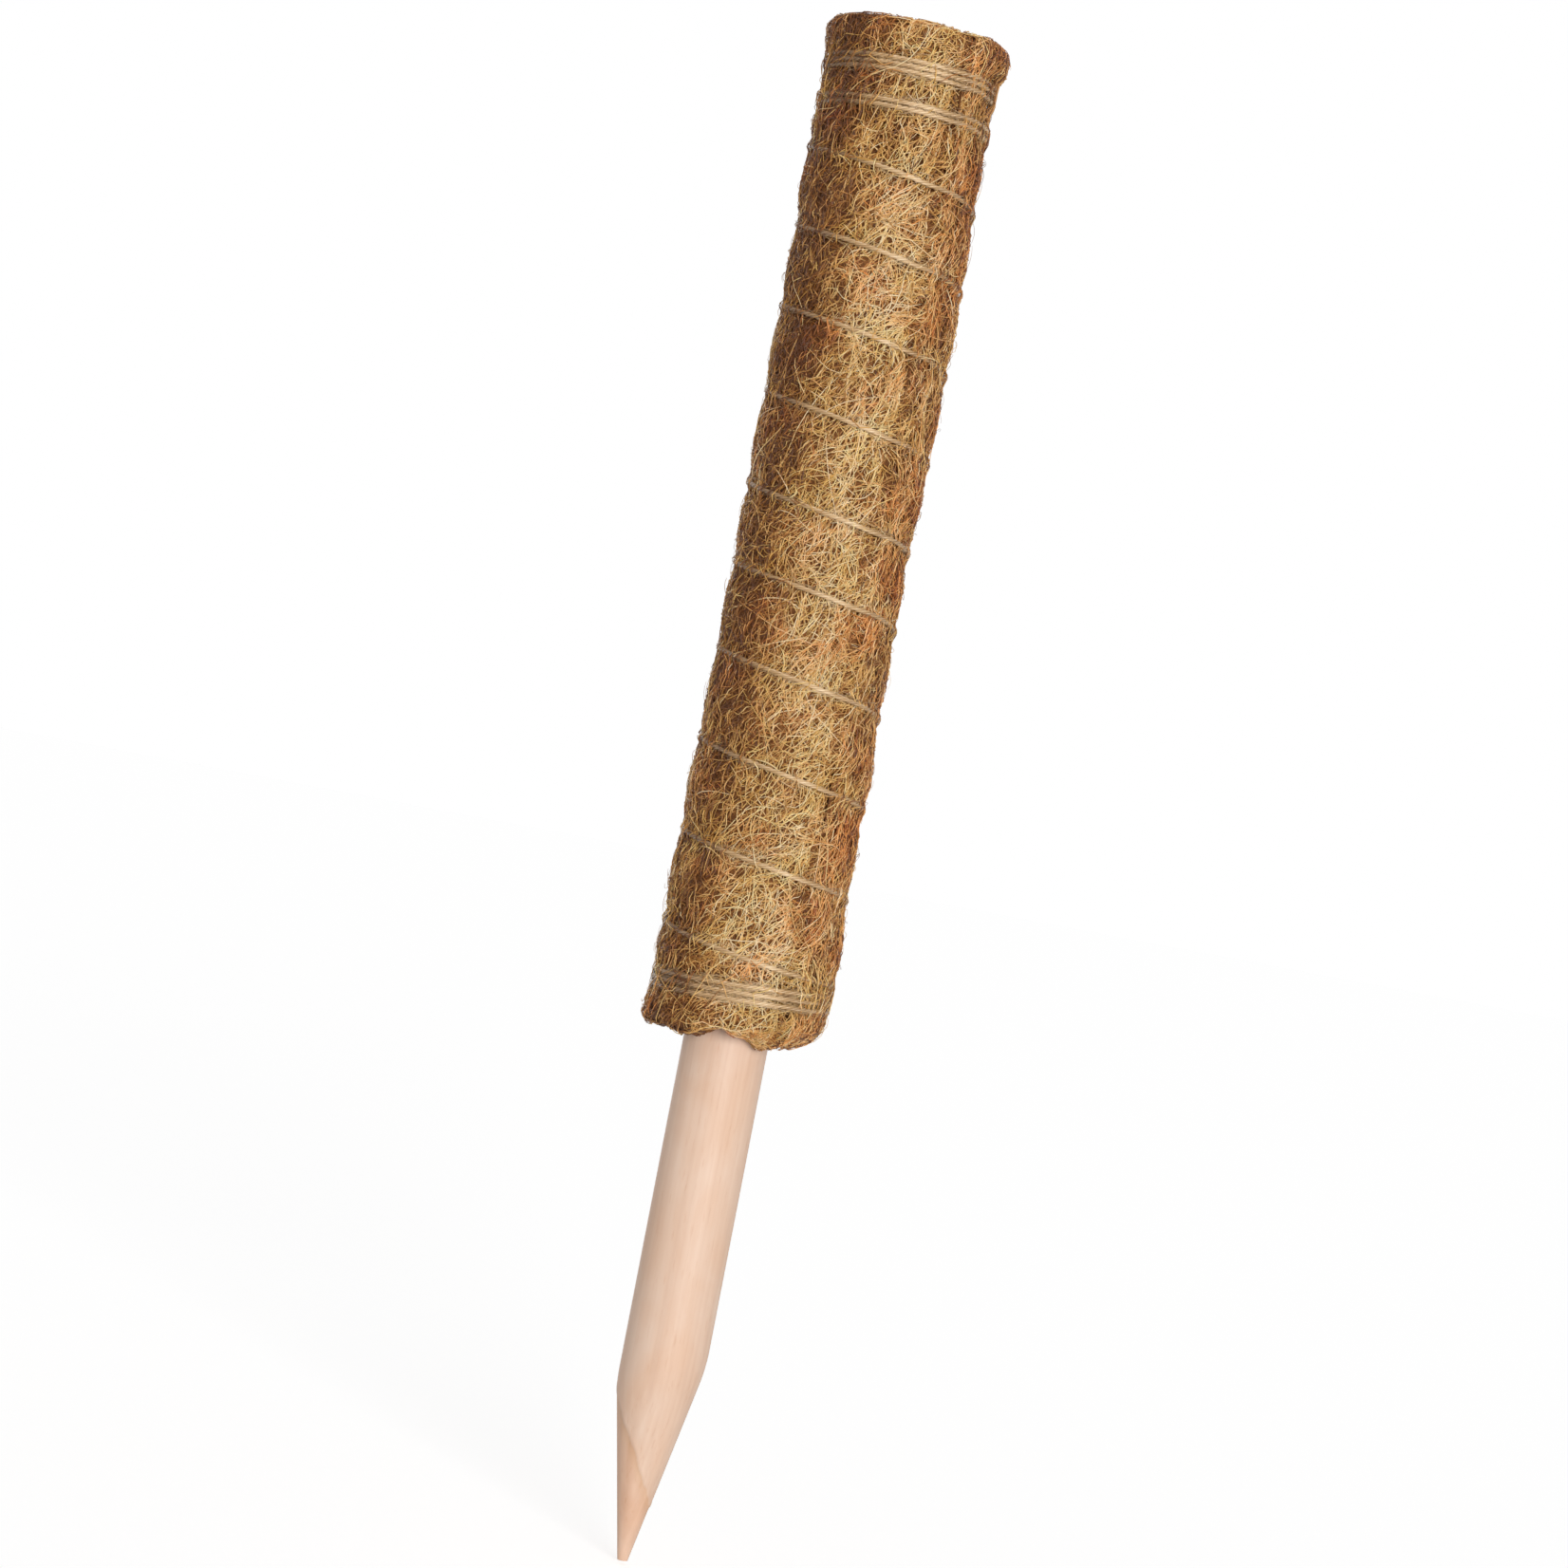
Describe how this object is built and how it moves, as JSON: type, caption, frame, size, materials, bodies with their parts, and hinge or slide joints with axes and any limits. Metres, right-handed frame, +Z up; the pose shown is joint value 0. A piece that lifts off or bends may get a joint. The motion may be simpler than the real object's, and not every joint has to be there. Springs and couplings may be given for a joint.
{
  "type": "moss pole",
  "caption": "Coir-wrapped plant support pole: a pointed wooden stake pushed into potting soil, with a rolled coir mat bound round its upper part with thread for climbing roots.",
  "frame": {"origin": "on the stake's axis at the soil line, where the coir roll's lower end rests on the potting soil", "axes": "+Z up along the pole towards its coir end, -Y towards the front that the picture shows, +X to the right of that front"},
  "size_m": [0.049, 0.047, 0.4],
  "materials": {
    "stake_wood": "sanded, unvarnished pale softwood",
    "coir": "needled coconut fibre mat, matt and hairy",
    "thread": "pale nylon thread, slightly glossy",
    "staple_wire": "zinc-coated steel wire"
  },
  "bodies": {
    "root": {"wooden_stake": "stake_wood", "coir_mat": "coir", "binding_thread": "thread", "upper_knot": "thread", "lower_knot": "thread", "mat_staple_1": "staple_wire", "mat_staple_2": "staple_wire", "mat_staple_3": "staple_wire", "mat_staple_4": "staple_wire", "mat_staple_5": "staple_wire"}
  },
  "joints": []
}
